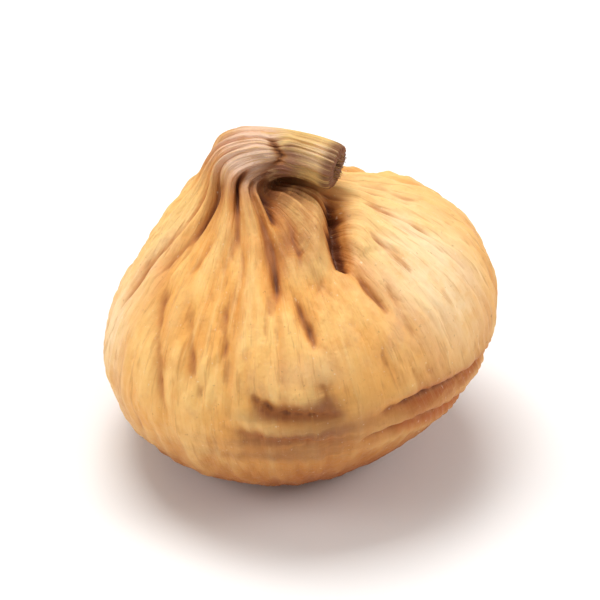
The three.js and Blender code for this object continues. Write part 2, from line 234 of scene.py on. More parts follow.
@dataclass
class FigForm:
    """The fig's shape in millimetres, from the eye underneath to the cut end of the stalk.

    A place on the skin is its distance s along the skin from the eye, and its angle round the fig,
    from the fig's right towards its back.
    """

    body_radius: float = 15.1
    body_lean: float = 10.0  # how far the body leans over to the left, degrees
    widest_height: float = 10.3
    shoulder_height: float = 21.3
    neck_lean: float = 3.4  # from the body's middle to the top of the neck, which lies to its left
    neck_height: float = 24.3
    stalk_radius: float = 1.6
    stalk_heading: float = -22.0  # which way the neck and the stalk bend over, degrees
    eye_depth: float = 2.1  # from the surface that the fig rests on up to the bottom of the eye
    rest_depth: float = 0.35  # how far the skin there would sink into that surface if it gave way
    fold_depth: float = 0.62
    body_folds: float = 0.45  # depth of the pleats on the body, as a share of fold_depth
    neck_folds: float = 0.75  # how much deeper they get on the neck, in the same measure
    stalk_calm: float = 0.75  # how much shallower they are on the stalk
    eye_calm: float = 0.6  # and round the eye
    back_depth: float = 0.5  # how much deeper the folds are at the back, as a share
    pleats: FoldField = FoldField(
        3.1, 4.6, 17, slant=0.4, under_slant=1.6, evenness=0.25, first_draw=0, lean=0.45
    )
    under_s: float = 9.0  # along the skin from the eye to where the underside ends
    steps: int = 900  # of the path through the stations

    def __post_init__(self) -> None:
        """Works out the path of rings and the places along it."""
        self.stations = np.array(self.station_list(), float)
        t = np.linspace(0, len(self.stations) - 1, self.steps + 1)
        rings = self.between_stations(t)
        stride = np.linalg.norm(np.diff(rings[:, [0, 1, 2, 4]], axis=0), axis=1)
        self.path_s = np.concatenate([[0], np.cumsum(stride)])
        self.path = rings
        self.path[:, 4] = np.maximum(self.path[:, 4], 0.001)
        self.length = float(self.path_s[-1])
        self.neck_s = self.s_at_height(self.neck_height)
        self.shoulder_s = self.s_at_height(self.shoulder_height)

    def station_list(self) -> list[list[float]]:
        """The rings that the unwrinkled fig is drawn through.

        Returns:
            Centre x, y and z, lean in degrees and radius of each ring, from the eye to the cut end.
        """
        r = self.stalk_radius
        x = self.neck_lean
        lean = self.body_lean
        return [
            [1.7, 0.6, self.eye_depth, 0, 0.02],
            [1.7, 0.6, self.eye_depth - 0.5, 0, 0.75],
            [1.6, 0.6, 0.65, 0, 1.5],
            [1.2, 0.5, -self.rest_depth * 0.4, 0, 2.7],
            [0.5, 0.3, -self.rest_depth, 0, 4.8],
            [0.1, 0.2, 0.2, -lean * 0.2, 7.2],
            [0.1, 0.1, 1.9, -lean * 0.55, 10.0],
            [0.3, 0.1, 5.0, -lean * 0.9, 13.2],
            [0, 0, self.widest_height, -lean, self.body_radius],
            [-0.6, 0, 14.8, -lean, 13.9],
            [-1.1, 0.1, 17.8, -lean * 0.9, 11.3],
            [-1.6, 0.4, 19.8, -lean * 0.7, 8.6],
            [-2.1, 0.9, self.shoulder_height, -lean * 0.4, 6.4],
            [-2.6, 1.4, 22.4, 0, 4.9],
            [-x + 0.2, 1.8, 23.4, 8, 3.75],
            [-x, 2.0, self.neck_height, 30, 2.95],
            [-x + 0.6, 1.9, 24.95, 60, r + 0.65],
            [-x + 1.9, 1.5, 25.5, 80, r + 0.25],
            [-x + 3.4, 1.0, 25.75, 89, r + 0.05],
            [-x + 4.8, 0.6, 25.55, 94, r + 0.1],
            [-x + 6.1, 0.3, 25.1, 97, r * 1.08],
            [-x + 6.38, 0.25, 25.03, 97, r * 0.86],
            [-x + 6.2, 0.3, 25.07, 97, 0.02],
        ]

    def between_stations(self, t: np.ndarray) -> np.ndarray:
        """Rings along the Catmull-Rom curve through the stations.

        Args:
            t: places along it, where the stations have whole numbers.

        Returns:
            The centre, lean and radius at each place.
        """
        last = len(self.stations) - 1
        i = np.minimum(np.floor(t).astype(int), last - 1)
        f = (t - i)[:, None]
        a, b, c, d = (self.stations[np.clip(i + k, 0, last)] for k in (-1, 0, 1, 2))
        slope0, slope1, rise = (c - a) / 2, (d - b) / 2, c - b
        bend = slope0 + slope1 - 2 * rise
        return b + f * (slope0 + f * (3 * rise - 2 * slope0 - slope1 + f * bend))

    def s_at_height(self, z: float) -> float:
        """Distance along the skin at which the path first rises to the height z."""
        found = np.nonzero((self.path[:, 2] >= z) & (self.path_s > self.under_s))[0]
        return float(self.path_s[found[0]])

    def ring(self, s: np.ndarray) -> np.ndarray:
        """Centre, lean and radius of the rings at distances s."""
        return np.stack([np.interp(s, self.path_s, self.path[:, k]) for k in range(5)], -1)

    def at(self, s: np.ndarray, angle: np.ndarray) -> np.ndarray:
        """Points of the unwrinkled fig.

        Args:
            s: distances along the skin, mm.
            angle: an angle round the fig for each of them, radians.

        Returns:
            A point for each pair, mm.
        """
        x, y, z, lean, radius = np.moveaxis(self.ring(s), -1, 0)
        lean, heading = np.radians(lean), math.radians(self.stalk_heading)
        forward, sideways = radius * np.cos(angle - heading), radius * np.sin(angle - heading)
        level = forward * np.cos(lean)
        return np.stack(
            [
                x + level * math.cos(heading) - sideways * math.sin(heading),
                y + level * math.sin(heading) + sideways * math.cos(heading),
                z - forward * np.sin(lean),
            ],
            -1,
        )

    def plain(self, s: np.ndarray, angle: np.ndarray) -> np.ndarray:
        """Points of the unwrinkled fig at every distance s and angle, in mm."""
        return self.at(*np.meshgrid(s, angle, indexing="ij"))

    def line_on_skin(self, path: tuple[tuple[float, float], ...]) -> np.ndarray:
        """A line on the unwrinkled fig.

        Args:
            path: the places that it passes: angle in degrees and s in mm.

        Returns:
            Points along it, four for each stretch, mm.
        """
        places = np.array(path, float)
        t = np.linspace(0, len(places) - 1, (len(places) - 1) * 4 + 1)
        angle, s = (np.interp(t, np.arange(len(places)), places[:, k]) for k in (0, 1))
        return self.at(s, np.radians(angle))

    def plain_normal(self, s: np.ndarray, angle: np.ndarray) -> np.ndarray:
        """Outward directions of the unwrinkled fig.

        Args:
            s: distances along the skin, mm.
            angle: angles round the fig, radians.

        Returns:
            A unit vector at every distance by every angle.
        """
        turn, stride = 0.01, 0.05  # to the points on both sides, radians and mm
        around = self.plain(s, angle + turn) - self.plain(s, angle - turn)
        ahead = self.plain(np.minimum(s + stride, self.length), angle)
        along = ahead - self.plain(np.maximum(s - stride, 0), angle)
        normal = np.cross(around, along)
        return normal / np.linalg.norm(normal, axis=-1, keepdims=True)

    def at_back(self, angle: np.ndarray) -> np.ndarray:
        """How much deeper the folds are at each angle than at the front."""
        return 1 + self.back_depth * smoothstep(-0.2, 0.8, np.sin(angle))

    def relief(self, s: np.ndarray, angle: np.ndarray) -> np.ndarray:
        """How far the skin stands out from the unwrinkled fig.

        Args:
            s: distances along the skin, mm.
            angle: angles round the fig, radians.

        Returns:
            The pleats, swellings and creases together, at every distance by every angle, mm.
        """
        on_stalk = smoothstep(self.neck_s - 0.5, self.neck_s + 1.5, s)
        on_neck = smoothstep(self.shoulder_s - 7, self.shoulder_s + 1, s)
        on_eye = 1 - smoothstep(2.5, 5, s)
        depth = self.fold_depth * (self.body_folds + self.neck_folds * on_neck)
        depth *= (1 - self.stalk_calm * on_stalk) * (1 - self.eye_calm * on_eye)
        total = np.outer(depth, self.at_back(angle)) * self.pleats.height(self, s, angle)
        for swell in SWELLS:
            total += swell.offset(self, s, angle)
        plain = self.plain(s, angle)
        for seam in SEAMS + BackGathers().seams():
            total += seam.offset(self, plain)
        at_end = 1 - smoothstep(self.length - 2.2, self.length - 1.4, s)
        return total * at_end[:, None]


SWELLS = (
    Swell(14, 32.6, 1.35, 6.5, 4.2),  # the full right shoulder
    Swell(14, 26.5, 0.45, 8.0, 5.5),
    Swell(52, 33.4, -0.55, 4.0, 3.0),  # and the lower skin behind it
    Swell(165, 35.5, 0.8, 4.0, 3.0),  # behind the neck on the left
    Swell(-55, 12.5, -0.6, 6.0, 4.5),  # the flatter front, low on the right
    Swell(-30, 35.5, 0.5, 2.6, 2.0),  # the smooth lobe beside the great crease
    Swell(60, 27.0, -0.9, 5.5, 4.5),  # a dent behind the right shoulder
    Swell(118, 22.0, 0.6, 5.0, 4.0),
    Swell(150, 28.0, -0.6, 4.0, 5.0),
    Swell(-178, 16.0, 0.4, 5.0, 3.0),
)

SEAMS = (
    # The great crease from under the stalk down the front, and the lip of skin that hangs beside it.
    Seam(
        -1.9,
        1.2,
        ((-12, 39.6), (-25, 38.2), (-39, 37.0), (-50, 35.7), (-55, 34.2), (-54, 33.2)),
        lip=0.2,
    ),
    Seam(0.5, 1.1, ((-32, 39.4), (-46, 38.2), (-57, 37.0), (-63, 35.6), (-66, 34.4), (-66, 33.4))),
    Seam(
        -0.55,
        0.8,
        ((-51, 35.5), (-55, 34.1), (-52.5, 32.8), (-52.5, 31.3), (-51.5, 29.6), (-50.5, 27.7)),
    ),
    Seam(0.75, 2.0, ((-30, 42.0), (-46, 40.4), (-60, 38.8), (-68, 36.8), (-71, 34.6), (-73, 32.8))),
    # The notch between the gathered crown of the neck and the stalk.
    Seam(
        -0.6,
        0.8,
        ((150, 43.8), (180, 44.3), (204, 44.8), (225, 45.2), (243, 45.0), (266, 44.4)),
        lip=0.3,
    ),
    # Gathers that run down from the neck.
    Seam(-0.55, 1.0, ((-104, 43.2), (-109, 42.2), (-115, 40.8), (-121, 39.2), (-126, 37.4)), lip=0.2),
    Seam(-0.7, 0.9, ((-62, 43.0), (-70, 41.6), (-77, 40.2), (-83, 38.9), (-87, 37.7)), lip=0.2),
    Seam(
        -0.95,
        1.5,
        ((-138, 42.0), (-146, 40.3), (-152, 37.7), (-154.5, 35.6), (-159, 33.0), (-160, 31.2)),
        lip=0.2,
    ),
    Seam(-0.3, 1.0, ((-126, 38.8), (-133, 36.6), (-137, 34.8), (-138, 33.4))),
    Seam(
        -0.65,
        0.9,
        ((-87, 39.0), (-88, 37.6), (-89, 36.0), (-90.5, 34.4), (-92, 32.4), (-94, 30.8)),
        lip=0.25,
        fade=0.35,
    ),
    Seam(
        -0.6,
        0.9,
        ((-85, 34.6), (-83.5, 32.8), (-81.5, 31.1), (-80.5, 29.4), (-80, 27.6)),
        lip=0.25,
        fade=0.35,
    ),
    Seam(-0.35, 0.8, ((-60, 37.8), (-63, 36.0), (-66, 34.4), (-69, 32.6), (-70, 31.0)), fade=0.5),
    Seam(
        -0.55,
        0.9,
        ((-66, 40.4), (-70, 38.8), (-73, 37.2), (-74, 35.6), (-75, 34.2)),
        lip=0.2,
        fade=0.5,
    ),
    Seam(-0.35, 0.6, ((-64, 36.6), (-70, 36.0), (-76, 36.2)), fade=0.4),
    Seam(-0.3, 0.6, ((-77, 38.0), (-79, 36.8), (-79, 35.4)), fade=0.4),
    # Long shallow grooves down the left and the front.
    Seam(
        -0.55,
        1.3,
        ((-155, 34), (-152, 32.5), (-147, 30.4), (-142, 28.3), (-137, 26), (-134, 23.8), (-130, 21.5)),
    ),
    Seam(-0.4, 1.1, ((-132, 33.0), (-127, 29.4), (-121.5, 26.1), (-117, 23.6))),
    Seam(-0.35, 1.0, ((-116, 34.5), (-113.5, 31.4), (-112, 28.3), (-110, 25.0))),
    # The fan of fine lines on the right shoulder.
    Seam(-0.14, 0.9, ((-10, 37.4), (-13, 34.6), (-13, 32.4), (-16, 30.2))),
    Seam(-0.16, 0.9, ((-30, 36.2), (-33, 34.2), (-32.5, 31.8), (-35.5, 28.4))),
    Seam(-0.25, 0.9, ((-43, 32.6), (-46, 30.0), (-47, 27.6), (-47, 25.6))),
    Seam(-0.22, 0.9, ((-56, 30.2), (-58.5, 28.2), (-60, 26.2), (-58, 23.8))),
    # The folds that run across, low on the front, where the skin sagged.
    Seam(
        -0.6,
        1.0,
        ((-106, 25.9), (-101, 24.9), (-95, 23.7), (-88, 23.2), (-79, 22.7), (-75, 22.4)),
        lip=0.3,
    ),
    Seam(-0.35, 0.9, ((-80, 26.0), (-80, 24.6), (-79, 22.9))),
    Seam(
        -0.35,
        1.0,
        ((-116, 23.2), (-108, 22.1), (-100, 21.3), (-90, 20.7), (-80, 19.9), (-73, 19.4)),
        lip=0.15,
    ),
    Seam(
        -0.75,
        0.8,
        (
            (4, 19.4), (-8, 19.3), (-20, 19.9), (-32, 20.2),
            (-42, 20.9), (-52, 21.4), (-61, 21.5), (-74, 21.3),
        ),
        lip=0.35,
        fade=0.27,
    ),
    Seam(
        -0.6,
        0.8,
        ((-12, 16.0), (-22, 16.9), (-32, 17.3), (-42, 17.9), (-54, 19.0), (-66, 19.0), (-82, 18.4)),
        lip=0.3,
        fade=0.27,
    ),
    # Creases on the sides and the back.
    Seam(-1.1, 1.4, ((28, 38.6), (34, 37.0), (38, 35.0), (44, 32.6), (47, 30.4)), lip=0.2, fade=0.4),
    Seam(-0.5, 0.9, ((47, 31.4), (52, 29.0), (56, 26.0), (64, 23.6)), lip=0.2, fade=0.4),
    Seam(-0.8, 1.3, ((84, 39.6), (88, 37.2), (92, 34.2), (90, 31.0), (94, 28.4)), lip=0.2, fade=0.4),
    Seam(-1.0, 1.4, ((128, 40.2), (131, 37.6), (126, 34.8), (129, 31.2), (124, 28.0)), lip=0.2, fade=0.4),
    # Where the skin sagged, low on the sides and the back.
    Seam(
        -0.4,
        1.2,
        ((22, 19.4), (36, 18.6), (50, 18.9), (64, 18.2), (78, 18.8), (90, 18.2)),
        lip=0.3,
        fade=0.45,
    ),
    Seam(-0.3, 1.2, ((92, 16.4), (106, 15.6), (120, 16.2), (136, 15.0), (148, 15.2)), lip=0.3, fade=0.45),
    Seam(
        -0.4,
        1.2,
        ((140, 22.0), (156, 20.6), (170, 20.4), (184, 19.2), (198, 19.4)),
        lip=0.3,
        fade=0.45,
    ),
    Seam(-0.3, 1.2, ((-176, 16.0), (-162, 15.4), (-146, 16.2), (-132, 15.6)), lip=0.3, fade=0.45),
)


@dataclass(frozen=True)
class BackGathers:
    """Gathers that run down the sides and the back from the neck, each on its own wandering line."""

    count: int = 9
    width: float = 1.1  # from the middle of a gather to where it is all but gone, mm
    first_angle: float = 20.0  # where they begin round the fig, degrees
    angle_range: float = 180.0  # how much of the turn they take up, degrees
    unevenness: float = 0.7  # of the gaps between them
    top: float = 41.5  # where they start, on the neck, mm along the skin
    longest_end: float = 20.0  # how far down the longest one runs, mm along the skin
    end_range: float = 13.0
    shallowest: float = 0.3  # mm
    depth_range: float = 0.4
    stray: float = 9.0  # width of the band that a gather wanders in, degrees
    places: int = 7  # in the line of a gather
    first_draw: int = 900  # for where the gathers are
    draw_step: int = 20  # from those draws to the ones for their ends, depths and lines

    def seams(self) -> tuple[Seam, ...]:
        """Draws the gathers.

        Returns:
            Long and short ones, mixed.
        """
        gathers = []
        for k in range(self.count):
            middle_draw, end_draw, depth_draw = (
                float(draw(self.first_draw + i * self.draw_step + k)) for i in range(3)
            )
            middle = self.first_angle + self.angle_range * (k + self.unevenness * middle_draw) / self.count
            end = self.longest_end + self.end_range * end_draw
            depth = self.shallowest + self.depth_range * depth_draw
            line_draws = self.first_draw + 3 * self.draw_step + self.places * k
            path = []
            for i in range(self.places):
                angle = middle + self.stray * (float(draw(line_draws + i)) - 0.5)
                path.append((angle, self.top + (end - self.top) * i / (self.places - 1)))
            gathers.append(Seam(-depth, self.width, tuple(path), lip=0.2, fade=0.45))
        return tuple(gathers)


def blur_around(values: np.ndarray, radius: np.ndarray, spread: float) -> np.ndarray:
    """Blurs values round each ring.

    Args:
        values: rings by points in a ring.
        radius: the rings' radii, mm.
        spread: how far it blurs, mm.

    Returns:
        The blurred values.
    """
    wave = np.arange(values.shape[1] // 2 + 1)
    keep = np.exp(-0.5 * (wave * (spread / np.maximum(radius, spread))[:, None]) ** 2)
    return np.fft.irfft(np.fft.rfft(values, axis=1) * keep, values.shape[1], axis=1)


def blur_along(values: np.ndarray, s: np.ndarray, spread: float) -> np.ndarray:
    """Blurs values from ring to ring.

    Args:
        values: rings by points in a ring.
        s: the rings' distances along the skin, mm.
        spread: how far it blurs, mm.

    Returns:
        The blurred values.
    """
    share = np.exp(-0.5 * ((s[:, None] - s[None, :]) / spread) ** 2)
    return share / share.sum(1, keepdims=True) @ values


@dataclass
class FigSkin:
    """The fig's skin as one closed mesh, with the marks that its material reads."""

    form: FigForm
    around: int = 400  # points in a ring
    rings: int = 248
    end_gap: float = 0.1  # from each end of the skin's path to the ring nearest to it, mm
    middle: np.ndarray | None = None  # the middle of the fig's footprint on the form, set by build
    cut_rim: np.ndarray | None = None  # points round the cut end of the stalk, set by build
    wrinkle_depth: float = 0.38
    wrinkles: FoldField = FoldField(
        1.35,
        1.9,
        29,
        slant=0.9,
        under_slant=1.4,
        evenness=0.15,
        first_draw=20000,
        neck_order=0.85,
        lean=0.4,
    )
    crinkle_depth: float = 0.17
    crinkles: FoldField = FoldField(
        0.75, 1.0, 47, slant=1.5, under_slant=0.8, evenness=0.0, first_draw=50000, neck_order=0.6
    )
    neck_wrinkles: float = 0.7  # how much deeper wrinkles and crinkles get towards the neck
    stalk_calm: float = 0.7  # how much shallower they are on the stalk
    rest_calm: float = 0.7  # and on the flat skin that the fig rests on
    fold_spreads: tuple[float, float] = (0.3, 1.9)  # narrowest and broadest relief that is a fold, mm
    crease_spread: float = 0.7  # the broadest relief that is a crease, mm
    full_valley: float = 0.42  # depth at which a valley has its full painted shade, mm
    full_crest: float = 0.3
    full_crease: float = 0.5

    def build(self) -> bpy.types.Object:
        """Makes the skin.

        Returns:
            Its mesh object, in metres, with the marks on its points.
        """
        form = self.form
        s = np.linspace(self.end_gap, form.length - self.end_gap, self.rings)
        angle = np.arange(self.around) * FULL_TURN / self.around
        relief = form.relief(s, angle) + self.fine_relief(s, angle)
        points = form.plain(s, angle) + form.plain_normal(s, angle) * relief[..., None]
        points[..., 2] = np.maximum(points[..., 2], 0)
        low, high = points.min((0, 1)), points.max((0, 1))
        self.middle = np.array([(low[0] + high[0]) / 2, (low[1] + high[1]) / 2, 0])
        points -= self.middle
        self.cut_rim = points[np.searchsorted(s, form.length - CUT_INSET)] * MM
        mesh = closed_mesh("dried_fig_skin", points * MM)
        for name, values in self.marks(s, angle, relief).items():
            tips = [values[0].mean(), values[-1].mean()]
            layer = mesh.attributes.new(name, "FLOAT", "POINT")
            layer.data.foreach_set("value", np.concatenate([values.ravel(), tips]).astype(np.float32))
        # The skin unrolled to a tube as wide as the body, which the material draws its patterns on.
        along, turn = np.meshgrid(s, angle, indexing="ij")
        unrolled = np.stack([np.cos(turn) * form.body_radius, np.sin(turn) * form.body_radius, along], -1)
        unrolled = unrolled.reshape(-1, 3)
        unrolled = np.concatenate([unrolled, unrolled[:1], unrolled[-1:]])
        layer = mesh.attributes.new("unrolled", "FLOAT_VECTOR", "POINT")
        layer.data.foreach_set("vector", unrolled.ravel().astype(np.float32))
        skin = bpy.data.objects.new("dried_fig_skin", mesh)
        bpy.context.scene.collection.objects.link(skin)
        return skin

    def fine_relief(self, s: np.ndarray, angle: np.ndarray) -> np.ndarray:
        """Wrinkles between the pleats, and crinkles between the wrinkles.

        Args:
            s: distances of the rings, mm.
            angle: angles of the points in a ring, radians.

        Returns:
            Their height, mm.
        """
        form = self.form
        off_stalk = 1 - self.stalk_calm * smoothstep(form.neck_s - 0.5, form.neck_s + 1.5, s)
        off_eye = smoothstep(1.5, 3.5, s)
        beside_rest = 1 - self.rest_calm * (1 - smoothstep(6, 10, s))
        at_end = 1 - smoothstep(form.length - 1.6, form.length - 1.0, s)
        gathered = 1 + self.neck_wrinkles * smoothstep(form.shoulder_s - 10, form.shoulder_s, s)
        share = np.outer(gathered * off_stalk * off_eye * beside_rest * at_end, form.at_back(angle))
        wrinkles = self.wrinkle_depth * self.wrinkles.height(form, s, angle)
        crinkles = self.crinkle_depth * self.crinkles.height(form, s, angle)
        return share * (wrinkles + crinkles)

    def marks(self, s: np.ndarray, angle: np.ndarray, relief: np.ndarray) -> dict[str, np.ndarray]:
        """What the material reads, on the rings.

        Args:
            s: distances of the rings, mm.
            angle: angles of the points in a ring, radians.
            relief: how far the skin stands out at each point, in mm.

        Returns:
            Each mark by its name, from 0 to 1: valleys and creases of the folds, for painted shade, and
                their
            crests, for painted highlight; the parts of the fig; and the patches of other colours and of
            painted light.
        """
        form = self.form
        radius = form.ring(s)[:, 4]

        def blurred(spread: float) -> np.ndarray:
            """The relief, blurred over a spread in mm."""
            return blur_along(blur_around(relief, radius, spread), s, spread)

        fold = blurred(self.fold_spreads[0]) - blurred(self.fold_spreads[1])
        narrow = relief - blurred(self.crease_spread)
        ones = np.ones((len(s), len(angle)))
        marks = {
            # Painted shade in the valleys and creases of the folds, and a painted highlight on their
            # crests.
            "valley": np.clip(-fold / self.full_valley, 0, 1),
            "crest": np.clip(fold / self.full_crest, 0, 1),
            "crease": np.clip(-narrow / self.full_crease, 0, 1),
            "stalk": ones * smoothstep(form.neck_s + 1.0, form.neck_s + 3.4, s)[:, None],
            "neck": ones * smoothstep(form.shoulder_s + 0.5, form.neck_s + 0.5, s)[:, None],
            "eye": ones * (1 - smoothstep(2.0, 3.6, s))[:, None],
            "tip": ones * smoothstep(form.length - 2.9, form.length - 2.0, s)[:, None],
            "cut": ones * smoothstep(form.length - 1.75, form.length - 1.5, s)[:, None],
            # Painted shade: the body darker and deeper orange towards the bottom.
            "low": ones * (1 - smoothstep(12, 24, s))[:, None],
        }
        for name, patches in PATCHES.items():
            marks[name] = np.clip(sum(patch.offset(form, s, angle) for patch in patches), 0, 1)
        plain = form.plain(s, angle)
        for name, lines in STAINS.items():
            marks[name] = np.clip(sum(line.offset(form, plain) for line in lines), 0, 1)
        return marks


# Where the skin has changed colour. Here a swell's height is how strong the colour is, from 0 to 1.
PATCHES = {
    # Brown blots where the skin was pressed or rubbed, and painted shade on and under the stalk.
    "bruise_and_shade": (
        Swell(-93, 23.7, 0.7, 2.4, 0.5),
        Swell(-81, 24.4, 0.6, 0.7, 1.2),
        Swell(-94, 21.2, 0.7, 4.4, 0.5),
        Swell(-98, 19.6, 0.5, 4.4, 0.5),
        Swell(-80, 21.6, 0.4, 2.4, 1.6),
        Swell(-77, 36.6, 0.6, 1.3, 1.2),
        # Painted shade on the underside of the stalk and on the neck below it.
        Swell(-45, 45.2, 0.8, 1.6, 2.2),
        Swell(-5, 44.0, 0.5, 2.0, 2.4),
        Swell(-40, 41.5, 0.8, 1.8, 1.8),
        Swell(-85, 44.8, 0.8, 0.8, 0.8),
        Swell(100, 36.0, 0.4, 3.2, 3.4),
        Swell(20, 20.0, 0.4, 3.0, 2.0),
        Swell(150, 19.5, 0.6, 4.0, 2.0),
        Swell(-150, 15.0, 0.4, 3.0, 2.0),
        Swell(60, 16.0, 0.4, 4.0, 2.2),
    ),
    # Darker skin beside the great creases.
    "amber": (
        Swell(-60, 37.6, 0.9, 2.0, 2.6),
        Swell(-55, 20.4, 0.9, 7.0, 1.8),
        Swell(-118, 38.5, 0.5, 1.6, 2.4),
        Swell(110, 33.0, 0.7, 5.0, 3.4),
        Swell(30, 19.0, 0.6, 5.0, 3.0),
    ),
    # Pale pinkish skin on the bend of the neck, with painted highlights there and on the top of the stalk.
    "crown": (
        Swell(-160, 43.3, 1.0, 2.0, 1.1),
        Swell(-125, 43.3, 0.7, 1.5, 1.0),
        Swell(150, 43.0, 0.4, 2.0, 1.2),
        # A painted highlight on the top of the stalk.
        Swell(-170, 48.0, 0.7, 0.8, 1.2),
    ),
    # Painted highlights on the right shoulder, the left edge and low on the front, and pale patches at the
    # back.
    "pale_and_highlight": (
        Swell(-27, 28.5, 1.0, 3.2, 4.2),
        Swell(-8, 33.5, 0.5, 4.0, 3.0),
        Swell(-170, 25.0, 0.8, 2.4, 7.0),
        Swell(-84, 26.5, 0.35, 2.5, 1.2),
        Swell(95, 29.0, 0.6, 4.0, 4.0),
        Swell(150, 26.0, 0.5, 4.0, 5.0),
    ),
}

# Where the skin is darker along a line, again from 0 to 1.
STAINS = {
    # Rusty lines along the folds low on the right.
    "rust": (
        Seam(
            1.0,
            1.9,
            ((-8, 19.4), (-20, 20.0), (-32, 20.3), (-42, 21.0), (-52, 21.5), (-63, 21.5)),
            fade=0.25,
        ),
        Seam(
            1.0,
            1.7,
            ((-14, 16.2), (-22, 16.9), (-32, 17.3), (-42, 17.9), (-54, 19.0), (-68, 18.8)),
            fade=0.25,
        ),
    ),
    # Brown bands across the front.
    "band": (
        Seam(
            1.0,
            1.1,
            ((-104, 24.7), (-99, 24.0), (-93, 23.4), (-86, 23.1), (-79, 22.8), (-73, 22.6)),
            fade=0.2,
        ),
        Seam(
            0.7,
            1.6,
            ((-114, 23.0), (-106, 22.0), (-98, 21.4), (-88, 20.8), (-78, 20.2), (-68, 20.0)),
            fade=0.25,
        ),
        Seam(0.5, 1.4, ((-108, 20.0), (-98, 19.2), (-88, 18.6), (-76, 18.2), (-64, 18.4)), fade=0.3),
    ),
    # A dull brown ring where the neck becomes the stalk.
    "collar": (
        Seam(
            0.9,
            1.8,
            ((180, 45.3), (204, 45.7), (225, 46.1), (243, 46.0), (266, 45.5), (290, 45.0), (320, 45.0)),
            fade=0.15,
        ),
    ),
}


def closed_mesh(name: str, points: np.ndarray) -> bpy.types.Mesh:
    """A closed mesh from rings of points, with a fan at each end.

    Args:
        name: the mesh's name.
        points: rings by columns by 3, in metres.

    Returns:
        The mesh, smooth shaded, with its faces pointing out.
    """
    rings, columns = points.shape[:2]
    vertices = np.concatenate([points.reshape(-1, 3), [points[0].mean(0), points[-1].mean(0)]])
    index = np.arange(rings * columns).reshape(rings, columns)
    after = np.roll(index, -1, axis=1)
    quads = np.stack([index[:-1], after[:-1], after[1:], index[1:]], -1).reshape(-1, 4)
    first, last = rings * columns, rings * columns + 1
    bottom = [(first, int(b), int(a)) for a, b in zip(index[0], after[0])]
    top = [(last, int(a), int(b)) for a, b in zip(index[-1], after[-1])]
    mesh = bpy.data.meshes.new(name)
    mesh.from_pydata(vertices.tolist(), [], quads.tolist() + bottom + top)
    mesh.polygons.foreach_set("use_smooth", [True] * len(mesh.polygons))
    mesh.update()
    return mesh


def linear(colour: str) -> tuple[float, float, float, float]:
    """Turns an sRGB colour to linear values.

    Args:
        colour: the colour in hex, after a hash sign.

    Returns:
        Red, green, blue and a full alpha.
    """
    # The sRGB curve: a straight line near black, and a power above it.
    values = [int(colour[i : i + 2], 16) / 255 for i in (1, 3, 5)]
    return (*(v / 12.92 if v <= 0.04045 else ((v + 0.055) / 1.055) ** 2.4 for v in values), 1.0)


def add_node(
    tree: bpy.types.NodeTree,
    kind: str,
    settings: dict[str, object] | None = None,
    **inputs: object,
) -> bpy.types.Node:
    """Adds a node to a tree, with its settings, values and links.

    Args:
        tree: the tree that it belongs to.
        kind: the node's type.
        settings: properties of the node itself.
        **inputs: an output to link or a value for each input, named as in lower case with
            underscores, or in_0, in_1 and so on for an input by its number.

    Returns:
        The node.
    """
    node = tree.nodes.new(kind)
    for name, value in (settings or {}).items():
        setattr(node, name, value)
    for name, value in inputs.items():
        if name.startswith("in_"):
            socket = node.inputs[int(name[3:])]
        else:
            socket = next(i for i in node.inputs if i.enabled and i.name.lower().replace(" ", "_") == name)
        if isinstance(value, bpy.types.NodeSocket):
            tree.links.new(value, socket)
        else:
            socket.default_value = value
    return node


class Run(Enum):
    """Which way a pattern runs on the fig, as its stretch round the fig and along the skin."""

    EVEN = (1.0, 1.0)
    LENGTHWAYS = (1.0, 0.12)
    CROSSWAYS = (0.14, 1.0)


@dataclass(frozen=True)
class Pattern:
    """Blots or streaks of one size, from none at low to full at high."""

    size: float  # mm
    low: float  # in the noise that it is made of
    high: float
    run: Run = Run.EVEN
    detail: float = 5.0
    roughness: float = 0.6


@dataclass(frozen=True)
class Coat:
    """A colour laid over the skin, thick where its mark and its pattern are strong."""

    colour: str
    share: float  # of what is below that it hides where it is thickest
    mark: str = ""  # on the skin, or none for a coat that is everywhere
    low: float = 0.0  # the mark at which the coat starts
    high: float = 1.0  # and at which it is full
    pattern: Pattern | None = None


@dataclass(frozen=True)
class FineRelief:
    """Relief that is too fine for a mesh, drawn by the material alone."""

    size: float  # of one line, grain or cell, mm
    height: float  # mm
    strength: float


